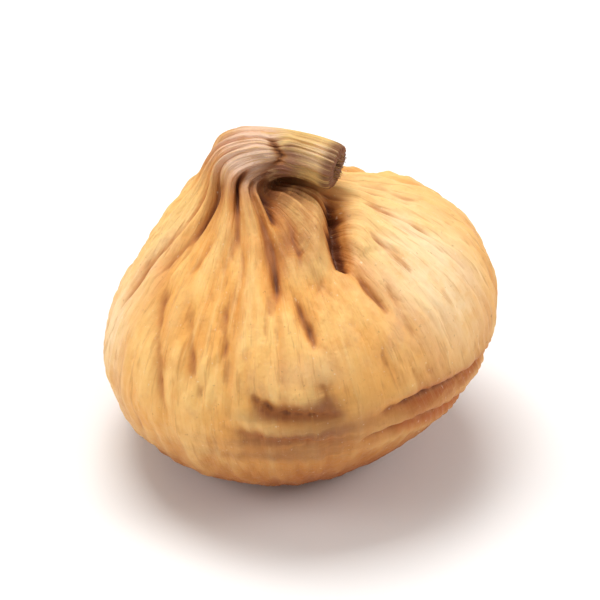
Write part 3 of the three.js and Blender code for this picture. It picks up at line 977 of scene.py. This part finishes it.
@dataclass(frozen=True)
class DriedFigSkin:
    """Fig skin dried in the sun: thin and leathery, golden tan, with painted shade in its folds."""

    ground: str = "#F1AF58"
    coats: tuple[Coat, ...] = (
        Coat("#F9C676", 0.9, pattern=Pattern(7, 0.42, 0.62)),
        Coat("#DD9340", 0.75, pattern=Pattern(5, 0.48, 0.68)),
        Coat("#D98B3A", 0.5, pattern=Pattern(2.2, 0.46, 0.66, Run.LENGTHWAYS)),
        Coat("#FBD28A", 0.45, pattern=Pattern(1.0, 0.52, 0.7, Run.LENGTHWAYS)),
        Coat("#CB8450", 0.45, pattern=Pattern(3.2, 0.56, 0.72)),
        # Painted shade: darker, deeper orange low on the body.
        Coat("#A65614", 0.95, "low"),
        # Painted highlights, with pale patches at the back.
        Coat("#FDE0B2", 0.85, "pale_and_highlight", pattern=Pattern(4, 0.2, 0.55)),
        # A painted highlight on the crests of the folds, and painted shade in their valleys.
        Coat("#FCD386", 0.6, "crest"),
        Coat("#CB8236", 0.75, "valley", 0.05, 0.9),
        Coat("#C0783A", 0.7, "neck", pattern=Pattern(2.4, 0.3, 0.62, Run.LENGTHWAYS)),
        Coat("#C07C3C", 0.8, "amber", pattern=Pattern(1.8, 0.2, 0.55)),
        Coat("#F0C878", 0.95, "stalk"),
        Coat("#B27A4C", 0.6, "stalk", pattern=Pattern(4.0, 0.48, 0.64, Run.LENGTHWAYS)),
        # Pale pinkish skin, with painted highlights on the bend of the neck and the top of the stalk.
        Coat("#F7D4BC", 0.85, "crown", pattern=Pattern(1.2, 0.2, 0.6)),
        Coat("#7E4A34", 0.85, "tip", pattern=Pattern(2.0, 0.3, 0.5, Run.LENGTHWAYS)),
        # Brown bruises, and painted shade on and under the stalk.
        Coat("#8C5228", 0.95, "bruise_and_shade", pattern=Pattern(1.1, 0.25, 0.55, Run.CROSSWAYS)),
        Coat("#AE5816", 0.9, "rust", 0.08, 0.7, Pattern(1.4, 0.26, 0.46, Run.CROSSWAYS)),
        Coat("#8E4F22", 0.95, "band", 0.1, 0.9, Pattern(1.2, 0.28, 0.46, Run.CROSSWAYS)),
        Coat("#94604A", 0.8, "collar", 0.1, 0.8, Pattern(1.0, 0.3, 0.5, Run.LENGTHWAYS)),
        # Painted shade in the creases: orange-brown in shallow ones, dark brown in deep ones.
        Coat("#B0692E", 0.8, "crease", 0.12, 0.5),
        Coat("#642E14", 0.9, "crease", 0.45, 1.0),
        Coat("#86543A", 1.0, "cut"),
        Coat("#E4D6BE", 0.9, "eye"),
        # Fine lines, grains of sugar and specks. Real ones are 0.1 to 0.2 mm across, which is too fine
        # to show, so they are drawn two to four times as coarse.
        Coat("#C07F3E", 0.35, pattern=Pattern(0.45, 0.55, 0.66, Run.LENGTHWAYS, detail=3.0)),
        Coat("#FFEFCF", 0.35, pattern=Pattern(0.4, 0.65, 0.75, detail=3.0)),
        Coat("#8A4A1E", 0.35, pattern=Pattern(0.45, 0.65, 0.75, detail=3.0)),
    )
    lines: FineRelief = FineRelief(0.55, 0.22, 0.8)  # drawn coarser than real ones, as in the coats
    grain: FineRelief = FineRelief(0.5, 0.14, 0.45)
    cells: FineRelief = FineRelief(0.75, 0.1, 0.15)  # of crazed skin, drawn coarser than real ones
    cell_edge: float = 0.25  # width of the groove between cells, as a share of a cell
    dullest: float = 0.68
    shiniest: float = 0.5
    ior: float = 1.45  # of dry plant skin
    light_let_in: float = 0.12
    light_reach: float = 0.8  # how far light spreads under the skin, mm
    light_tint: tuple[float, float, float] = (1.0, 0.45, 0.18)  # red spreads furthest

    def build(self) -> bpy.types.Material:
        """Makes the material.

        Returns:
            The material.
        """
        # Fig skin, dried in the sun until it wrinkled. To the eye it is dull leather: golden where it is
        # stretched, with painted shade in its folds and creases, painted highlights on its crests and pale
        # patches, and pale grains of sugar. Its edges glow a little, because light enters the flesh.
        material = bpy.data.materials.new("sun_dried_fig_skin")
        material.use_nodes = True
        skin = material.node_tree
        shader = skin.nodes["Principled BSDF"]
        place = add_node(skin, "ShaderNodeTexCoord").outputs["Object"]
        grain = add_node(
            skin,
            "ShaderNodeTexNoise",
            vector=place,
            scale=1 / (self.grain.size * MM),
            detail=5.0,
            roughness=0.65,
        ).outputs["Fac"]
        rough = add_node(
            skin,
            "ShaderNodeMapRange",
            value=grain,
            from_min=0.3,
            from_max=0.7,
            to_min=self.shiniest,
            to_max=self.dullest,
        )
        skin.links.new(self.colour(skin), shader.inputs["Base Color"])
        skin.links.new(self.surface(skin, place, grain), shader.inputs["Normal"])
        skin.links.new(rough.outputs[0], shader.inputs["Roughness"])
        shader.inputs["IOR"].default_value = self.ior
        shader.inputs["Subsurface Weight"].default_value = self.light_let_in
        shader.inputs["Subsurface Radius"].default_value = self.light_tint
        shader.inputs["Subsurface Scale"].default_value = self.light_reach * MM
        return material

    def colour(self, skin: bpy.types.NodeTree) -> bpy.types.NodeSocket:
        """Lays the coats over the ground colour.

        Args:
            skin: the material's nodes.

        Returns:
            The output with the colour.
        """
        ground = add_node(skin, "ShaderNodeRGB")
        ground.outputs[0].default_value = linear(self.ground)
        colour = ground.outputs[0]
        for coat in self.coats:
            colour = add_node(
                skin,
                "ShaderNodeMix",
                {"data_type": "RGBA"},
                in_0=self.thickness(skin, coat),
                in_6=colour,
                in_7=linear(coat.colour),
            ).outputs[2]
        return colour

    def surface(
        self, skin: bpy.types.NodeTree, place: bpy.types.NodeSocket, grain: bpy.types.NodeSocket
    ) -> bpy.types.NodeSocket:
        """Draws the relief that is too fine for the mesh: lines, grain and crazed cells.

        Args:
            skin: the material's nodes.
            place: the output with the place on the piece.
            grain: the output with the grain.

        Returns:
            The output with the direction that the surface faces.
        """
        lines = self.drawing(skin, Pattern(self.lines.size, 0.3, 0.7, Run.LENGTHWAYS)).outputs["Fac"]
        crazing = add_node(
            skin,
            "ShaderNodeTexVoronoi",
            {"feature": "DISTANCE_TO_EDGE"},
            vector=place,
            scale=1 / (self.cells.size * MM),
        )
        cells = add_node(
            skin,
            "ShaderNodeMapRange",
            value=crazing.outputs["Distance"],
            from_min=0.0,
            from_max=self.cell_edge,
        ).outputs[0]
        below = {}
        for fine, drawn in ((self.lines, lines), (self.grain, grain), (self.cells, cells)):
            bump = add_node(
                skin,
                "ShaderNodeBump",
                strength=fine.strength,
                distance=fine.height * MM,
                height=drawn,
                **below,
            )
            below = {"normal": bump.outputs[0]}
        return below["normal"]

    def thickness(self, skin: bpy.types.NodeTree, coat: Coat) -> bpy.types.NodeSocket:
        """How thickly a coat lies.

        Args:
            skin: the material's nodes.
            coat: the coat.

        Returns:
            An output from 0 to the coat's share.
        """
        share = None
        if coat.mark:
            mark = add_node(skin, "ShaderNodeAttribute", {"attribute_name": coat.mark})
            share = add_node(
                skin,
                "ShaderNodeMapRange",
                value=mark.outputs["Fac"],
                from_min=coat.low,
                from_max=coat.high,
                to_max=coat.share,
            ).outputs[0]
        if coat.pattern:
            blots = self.drawing(skin, coat.pattern)
            drawn = add_node(
                skin,
                "ShaderNodeMapRange",
                {"interpolation_type": "SMOOTHSTEP"},
                value=blots.outputs["Fac"],
                from_min=coat.pattern.low,
                from_max=coat.pattern.high,
                to_max=1.0 if coat.mark else coat.share,
            ).outputs[0]
            if share is None:
                return drawn
            share = add_node(skin, MATH, PRODUCT, in_0=share, in_1=drawn).outputs[0]
        return share

    def drawing(self, skin: bpy.types.NodeTree, pattern: Pattern) -> bpy.types.Node:
        """The noise that a pattern is made of, on the unrolled skin.

        Args:
            skin: the material's nodes.
            pattern: the pattern.

        Returns:
            The noise node.
        """
        unrolled = add_node(skin, "ShaderNodeAttribute", {"attribute_name": "unrolled"})
        around, along = pattern.run.value
        stretched = add_node(
            skin,
            "ShaderNodeMapping",
            vector=unrolled.outputs["Vector"],
            scale=(around / pattern.size, around / pattern.size, along / pattern.size),
        )
        return add_node(
            skin,
            "ShaderNodeTexNoise",
            vector=stretched.outputs[0],
            scale=1.0,
            detail=pattern.detail,
            roughness=pattern.roughness,
        )


@dataclass(frozen=True)
class DryPlantFibre:
    """Dry plant tissue, such as papery scales and torn fibres, with fine darker lines."""

    name: str
    light: str
    dark: str
    line_size: float  # mm, coarser than real lines of about 0.1 mm, which would be too fine to show
    line_height: float = 0.05  # mm
    line_strength: float = 0.5
    roughness: float = 0.8
    ior: float = 1.45

    def build(self) -> bpy.types.Material:
        """Makes the material.

        Returns:
            The material.
        """
        # Dead plant tissue, dried hard. To the eye it is dull and straw-coloured, with no shine at all,
        # and the dark lines between its fibres make it look split.
        material = bpy.data.materials.new(self.name)
        material.use_nodes = True
        tree = material.node_tree
        shader = tree.nodes["Principled BSDF"]
        place = add_node(tree, "ShaderNodeTexCoord").outputs["Object"]
        lines = add_node(
            tree,
            "ShaderNodeTexNoise",
            vector=place,
            scale=1 / (self.line_size * MM),
            detail=4.0,
            roughness=0.6,
        ).outputs["Fac"]
        share = add_node(tree, "ShaderNodeMapRange", value=lines, from_min=0.4, from_max=0.62).outputs[0]
        colour = add_node(
            tree,
            "ShaderNodeMix",
            {"data_type": "RGBA"},
            in_0=share,
            in_6=linear(self.light),
            in_7=linear(self.dark),
        )
        bump = add_node(
            tree,
            "ShaderNodeBump",
            strength=self.line_strength,
            distance=self.line_height * MM,
            height=lines,
        )
        tree.links.new(colour.outputs[2], shader.inputs["Base Color"])
        tree.links.new(bump.outputs[0], shader.inputs["Normal"])
        shader.inputs["Roughness"].default_value = self.roughness
        shader.inputs["IOR"].default_value = self.ior
        return material


class GrownPiece:
    """A piece that a tree of geometry nodes grows from a small mesh."""

    def __init__(self, name: str) -> None:
        """Starts the tree, with a mesh as its first input.

        Args:
            name: the piece's name.
        """
        self.name = name
        self.tree = bpy.data.node_groups.new(name, "GeometryNodeTree")
        self.tree.interface.new_socket("Geometry", in_out="INPUT", socket_type="NodeSocketGeometry")
        self.tree.interface.new_socket("Geometry", in_out="OUTPUT", socket_type="NodeSocketGeometry")
        self.entry = self.tree.nodes.new("NodeGroupInput")
        self.values: dict[str, object] = {}

    def size(self, name: str, value: float | int) -> bpy.types.NodeSocket:
        """Adds a named input to the tree.

        Args:
            name: what it is the size or number of.
            value: its value, in metres where it is a length.

        Returns:
            The output that carries it inside the tree.
        """
        kind = "NodeSocketInt" if isinstance(value, int) else "NodeSocketFloat"
        socket = self.tree.interface.new_socket(name, in_out="INPUT", socket_type=kind)
        self.values[socket.identifier] = value
        return next(output for output in self.entry.outputs if output.identifier == socket.identifier)

    def add(self, kind: str, settings: dict[str, object] | None = None, **inputs: object) -> bpy.types.Node:
        """Adds a node to the tree, as add_node does."""
        return add_node(self.tree, kind, settings, **inputs)

    def grow(
        self, seedling: bpy.types.Mesh, grown: bpy.types.NodeSocket, material: bpy.types.Material
    ) -> bpy.types.Object:
        """Ends the tree, grows the piece and turns it into a plain mesh.

        Args:
            seedling: the mesh that it grows from.
            grown: the tree's last geometry.
            material: the finish.

        Returns:
            The piece, with no modifier.
        """
        real = self.add("GeometryNodeRealizeInstances", in_0=grown).outputs[0]
        smooth = self.add("GeometryNodeSetShadeSmooth", in_0=real).outputs[0]
        dressed = self.add("GeometryNodeSetMaterial", material=material, geometry=smooth).outputs[0]
        leave = self.tree.nodes.new("NodeGroupOutput")
        self.tree.links.new(dressed, leave.inputs[0])
        source = bpy.data.objects.new(self.name + "_seedling", seedling)
        bpy.context.scene.collection.objects.link(source)
        modifier = source.modifiers.new("grow", "NODES")
        modifier.node_group = self.tree
        for identifier, value in self.values.items():
            modifier[identifier] = value
        evaluated = source.evaluated_get(bpy.context.evaluated_depsgraph_get())
        mesh = bpy.data.meshes.new_from_object(evaluated)
        mesh.name = self.name
        bpy.data.objects.remove(source)
        piece = bpy.data.objects.new(self.name, mesh)
        bpy.context.scene.collection.objects.link(piece)
        return piece


@dataclass
class EyeScales:
    """The small papery scales that close the eye under the fig, in rows that point to its middle."""

    form: FigForm
    middle: np.ndarray  # the middle of the fig's footprint on the form, mm
    rows: int = 3
    scales_in_a_row: int = 9
    length: float = 1.1
    width: float = 0.75
    thickness: float = 0.1
    thinning: float = 0.6  # how much thinner the tip is than the root, as a share
    droop: float = 0.5  # how far its sides bend down, mm at 1 mm from its middle
    lift: float = 0.22  # how far its tip bends up, mm
    rings: int = 8  # in the mesh of a scale
    sides: int = 10
    inner_radius: float = 0.75  # from the middle of the eye to the roots of the innermost row
    row_step: float = 0.42
    depth: float = 1.45  # height of the innermost roots above the surface that the fig rests on
    row_drop: float = 0.3
    tilt: float = 28.0  # how far a scale points down, degrees
    stray: float = 0.3  # how far a scale strays from its place, in steps from scale to scale
    stray_lean: float = 0.5  # how much a scale that strays leans, radians for each step
    stray_turn: float = 0.8  # and turns
    smallest: float = 0.75
    largest: float = 1.15
    seed: int = 7

    def blade(self) -> bpy.types.Mesh:
        """Makes one scale, bent like a tile.

        Returns:
            Its mesh, root at the origin and tip towards -X, in metres.
        """
        t = np.linspace(0, 1, self.rings)[:, None]
        turn = -np.arange(self.sides)[None, :] * FULL_TURN / self.sides
        # A leaf's outline, widest a third of the way out and almost a point at the tip.
        half_width = self.width / 2 * np.sqrt(np.sin(np.pi * (0.12 + 0.87 * t) ** 0.8))
        across = half_width * np.cos(turn)
        thick = self.thickness / 2 * np.sin(turn) * (1 - self.thinning * t)
        up = thick - self.droop * across**2 + self.lift * t * t
        along = -self.length * t + 0 * turn
        return closed_mesh("eye_scale", np.stack([along, across, up], -1) * MM)

    def build(self) -> bpy.types.Object:
        """Grows the rows of scales.

        Returns:
            All scales as one piece.
        """
        eye = self.form.stations[0][:2] - self.middle[:2]
        piece = GrownPiece("eye_scales")
        rows = piece.size("Rows", self.rows)
        in_a_row = piece.size("Scales in a row", self.scales_in_a_row)
        inner = piece.size("Inner radius", self.inner_radius * MM)
        step = piece.size("Row step", self.row_step * MM)
        depth = piece.size("Depth", self.depth * MM)
        drop = piece.size("Row drop", self.row_drop * MM)
        tilt = piece.size("Tilt", math.radians(self.tilt))
        seed = piece.size("Seed", self.seed)
        middle_x = piece.size("Middle X", float(eye[0]) * MM)
        middle_y = piece.size("Middle Y", float(eye[1]) * MM)

        count = piece.add(MATH, PRODUCT, in_0=rows, in_1=in_a_row).outputs[0]
        points = piece.add("GeometryNodePoints", count=count).outputs[0]
        index = piece.add("GeometryNodeInputIndex").outputs[0]
        stray = piece.add(
            "FunctionNodeRandomValue", {"data_type": "FLOAT"}, min=-self.stray, max=self.stray, seed=seed
        ).outputs[1]

        # Which row a scale is in, and how far round the eye: each row starts half a step further on.
        turns = piece.add(MATH, QUOTIENT, in_0=index, in_1=in_a_row).outputs[0]
        row = piece.add(MATH, {"operation": "FLOOR"}, in_0=turns).outputs[0]
        shift = piece.add(MATH, PRODUCT, in_0=row, in_1=0.5).outputs[0]
        strayed = piece.add(MATH, SUM, in_0=index, in_1=stray).outputs[0]
        place = piece.add(MATH, SUM, in_0=shift, in_1=strayed).outputs[0]
        place_turns = piece.add(MATH, QUOTIENT, in_0=place, in_1=in_a_row).outputs[0]
        turn = piece.add(MATH, PRODUCT, in_0=place_turns, in_1=FULL_TURN).outputs[0]

        # Where its root is: rows further out are lower.
        outward = piece.add(MATH, PRODUCT, in_0=row, in_1=step).outputs[0]
        radius = piece.add(MATH, SUM, in_0=inner, in_1=outward).outputs[0]
        cosine = piece.add(MATH, {"operation": "COSINE"}, in_0=turn).outputs[0]
        sine = piece.add(MATH, {"operation": "SINE"}, in_0=turn).outputs[0]
        from_middle_x = piece.add(MATH, PRODUCT, in_0=radius, in_1=cosine).outputs[0]
        from_middle_y = piece.add(MATH, PRODUCT, in_0=radius, in_1=sine).outputs[0]
        x = piece.add(MATH, SUM, in_0=middle_x, in_1=from_middle_x).outputs[0]
        y = piece.add(MATH, SUM, in_0=middle_y, in_1=from_middle_y).outputs[0]
        dropped = piece.add(MATH, PRODUCT, in_0=row, in_1=drop).outputs[0]
        z = piece.add(MATH, DIFFERENCE, in_0=depth, in_1=dropped).outputs[0]
        spot = piece.add("ShaderNodeCombineXYZ", x=x, y=y, z=z).outputs[0]
        placed = piece.add("GeometryNodeSetPosition", geometry=points, position=spot).outputs[0]

        # How it leans and which way it points.
        stray_lean = piece.add(MATH, PRODUCT, in_0=stray, in_1=self.stray_lean).outputs[0]
        lean = piece.add(MATH, DIFFERENCE, in_0=stray_lean, in_1=tilt).outputs[0]
        stray_turn = piece.add(MATH, PRODUCT, in_0=stray, in_1=self.stray_turn).outputs[0]
        heading = piece.add(MATH, SUM, in_0=turn, in_1=stray_turn).outputs[0]
        facing = piece.add("ShaderNodeCombineXYZ", x=0.0, y=lean, z=heading).outputs[0]
        scale = piece.add(
            "FunctionNodeRandomValue",
            {"data_type": "FLOAT"},
            min=self.smallest,
            max=self.largest,
            seed=piece.add(MATH, SUM, in_0=seed, in_1=1.0).outputs[0],
        ).outputs[1]
        scales = piece.add(
            "GeometryNodeInstanceOnPoints",
            points=placed,
            instance=piece.entry.outputs[0],
            rotation=facing,
            scale=scale,
        ).outputs[0]
        finish = DryPlantFibre("papery_fig_scale", "#E2CFAE", "#8A5A34", line_size=0.4)
        return piece.grow(self.blade(), scales, finish.build())


@dataclass
class StalkFibres:
    """The torn woody fibres that stand out of the stalk's cut end."""

    rim: np.ndarray  # points round the cut end, in metres
    rim_points: int = 40  # in the outline of the cut face
    fibres_in_mm2: float = 9.0
    length: float = 0.42
    thickness: float = 0.055
    taper: float = 0.35  # thickness of a fibre's tip, as a share of its root's
    sunk: float = 0.3  # share of a fibre's length that is inside the stalk
    spread: float = 24.0  # how far a fibre leans out of line, degrees
    shortest: float = 0.5  # as a share of the length
    longest: float = 1.4
    sides: int = 6
    rings: int = 4
    seed: int = 3

    def face(self) -> bpy.types.Mesh:
        """Makes the cut face.

        Returns:
            A fan of triangles that faces out of the stalk.
        """
        rim = self.rim[:: len(self.rim) // self.rim_points]
        count = len(rim)
        mesh = bpy.data.meshes.new("cut_face")
        faces = [(count, k, (k + 1) % count) for k in range(count)]
        mesh.from_pydata([*rim.tolist(), rim.mean(0).tolist()], [], faces)
        return mesh

    def build(self) -> bpy.types.Object:
        """Grows the fibres.

        Returns:
            All fibres as one piece.
        """
        piece = GrownPiece("stalk_fibres")
        density = piece.size("Fibres in a square metre", self.fibres_in_mm2 / MM**2)
        length = piece.size("Length", self.length * MM)
        thickness = piece.size("Thickness", self.thickness * MM)
        spread = piece.size("Spread", math.radians(self.spread))
        seed = piece.size("Seed", self.seed)
        roots = piece.add(
            "GeometryNodeDistributePointsOnFaces", mesh=piece.entry.outputs[0], density=density, seed=seed
        )
        fibre = piece.add(
            "GeometryNodeMeshCone",
            vertices=self.sides,
            side_segments=self.rings,
            radius_top=piece.add(MATH, PRODUCT, in_0=thickness, in_1=self.taper).outputs[0],
            radius_bottom=thickness,
            depth=length,
        ).outputs[0]
        back = piece.add(MATH, PRODUCT, in_0=length, in_1=-self.sunk).outputs[0]
        sunk = piece.add("ShaderNodeCombineXYZ", z=back).outputs[0]
        rooted = piece.add("GeometryNodeTransform", geometry=fibre, translation=sunk).outputs[0]
        other_way = piece.add(MATH, PRODUCT, in_0=spread, in_1=-1.0).outputs[0]
        lean = piece.add(
            "FunctionNodeRandomValue",
            {"data_type": "FLOAT_VECTOR"},
            min=piece.add("ShaderNodeCombineXYZ", x=other_way, y=other_way).outputs[0],
            max=piece.add("ShaderNodeCombineXYZ", x=spread, y=spread).outputs[0],
            seed=seed,
        ).outputs[0]
        turned = piece.add(
            "FunctionNodeRotateRotation",
            {"rotation_space": "LOCAL"},
            rotation=roots.outputs["Rotation"],
            rotate_by=lean,
        ).outputs[0]
        scale = piece.add(
            "FunctionNodeRandomValue",
            {"data_type": "FLOAT"},
            min=self.shortest,
            max=self.longest,
            seed=piece.add(MATH, SUM, in_0=seed, in_1=1.0).outputs[0],
        ).outputs[1]
        fibres = piece.add(
            "GeometryNodeInstanceOnPoints",
            points=roots.outputs["Points"],
            instance=rooted,
            rotation=turned,
            scale=scale,
        ).outputs[0]
        finish = DryPlantFibre("torn_stalk_fibre", "#B98A58", "#5E3A22", line_size=0.3)
        return piece.grow(self.face(), fibres, finish.build())


@dataclass(frozen=True)
class SoftLight:
    """A square light that faces the fig."""

    name: str
    place: tuple[float, float, float]  # metres
    size: float  # metres
    watts: float
    aim: tuple[float, float, float] = (0, 0, 0.012)  # the middle of the fig, metres

    def build(self) -> None:
        """Makes the light."""
        data = bpy.data.lights.new(self.name, "AREA")
        data.size, data.energy = self.size, self.watts
        light = bpy.data.objects.new(self.name, data)
        light.location = self.place
        light.rotation_euler = (Vector(self.aim) - Vector(self.place)).to_track_quat("-Z", "Y").to_euler()
        bpy.context.scene.collection.objects.link(light)


@dataclass(frozen=True)
class Studio:
    """The pale floor, the soft lights and the camera."""

    camera_elevation: float = 36.0  # how far the camera looks down, degrees
    camera_distance: float = 0.62
    camera_aim: tuple[float, float, float] = (0, 0, 0.0128)
    field_width: float = 0.046  # width of the view at the fig
    sensor_width: float = 36.0  # mm
    nearest: float = 0.05  # what is nearer to the camera or further away isn't drawn
    furthest: float = 20.0
    floor_half: float = 3.0  # from the middle of the floor to its sides
    sky: float = 0.36  # strength of the even light from all round
    lights: tuple[SoftLight, ...] = (
        SoftLight("overhead", (-0.05, 0.12, 0.5), 0.3, 2.2),
        SoftLight("left", (-0.45, -0.1, 0.25), 0.25, 0.75),
        SoftLight("right", (0.42, -0.05, 0.3), 0.25, 0.8),
    )

    def build(self) -> None:
        """Makes the floor, the lights and the camera."""
        self.floor()
        self.daylight()
        for light in self.lights:
            light.build()
        self.camera()

    def floor(self) -> None:
        """Makes the floor, of pale paper."""
        mesh = bpy.data.meshes.new("floor")
        half = self.floor_half
        corners = [(-half, -half, 0), (half, -half, 0), (half, half, 0), (-half, half, 0)]
        mesh.from_pydata(corners, [], [(0, 1, 2, 3)])
        floor = bpy.data.objects.new("floor", mesh)
        bpy.context.scene.collection.objects.link(floor)
        # Uncoated paper. To the eye it is an even, pale ground that takes a soft shadow and never shines.
        paper = bpy.data.materials.new("pale_paper")
        paper.use_nodes = True
        shader = paper.node_tree.nodes["Principled BSDF"]
        shader.inputs["Base Color"].default_value = linear("#F4F2F0")
        shader.inputs["Roughness"].default_value = 0.9
        mesh.materials.append(paper)

    def daylight(self) -> None:
        """Makes the even white light that comes from all round."""
        world = bpy.data.worlds.new("studio")
        world.use_nodes = True
        world.node_tree.nodes["Background"].inputs["Color"].default_value = (1, 1, 1, 1)
        world.node_tree.nodes["Background"].inputs["Strength"].default_value = self.sky
        bpy.context.scene.world = world

    def camera(self) -> None:
        """Makes the camera: a long lens from the front, above the fig."""
        data = bpy.data.cameras.new("camera")
        data.sensor_width = self.sensor_width
        data.lens = self.sensor_width * self.camera_distance / self.field_width
        data.clip_start, data.clip_end = self.nearest, self.furthest
        camera = bpy.data.objects.new("camera", data)
        up = math.radians(self.camera_elevation)
        back = Vector((0, -math.cos(up), math.sin(up)))
        camera.location = Vector(self.camera_aim) + back * self.camera_distance
        camera.rotation_euler = (-back).to_track_quat("-Z", "Y").to_euler()
        bpy.context.scene.collection.objects.link(camera)
        bpy.context.scene.camera = camera
        bpy.context.scene.view_settings.view_transform = "Standard"


def main() -> None:
    """Builds the fig and its studio, and reports each piece."""
    logging.basicConfig(level=logging.INFO, format="%(message)s")
    Studio().build()
    form = FigForm()
    fig = FigSkin(form)
    skin = fig.build()
    skin.data.materials.append(DriedFigSkin().build())
    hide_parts(NODE)
    scales = EyeScales(form, fig.middle).build()
    fibres = StalkFibres(fig.cut_rim).build()
    for piece in (skin, scales, fibres):
        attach(piece, BODY)
        log.info("%s: %d faces", piece.name, len(piece.data.polygons))


if __name__ == "__main__":
    main()
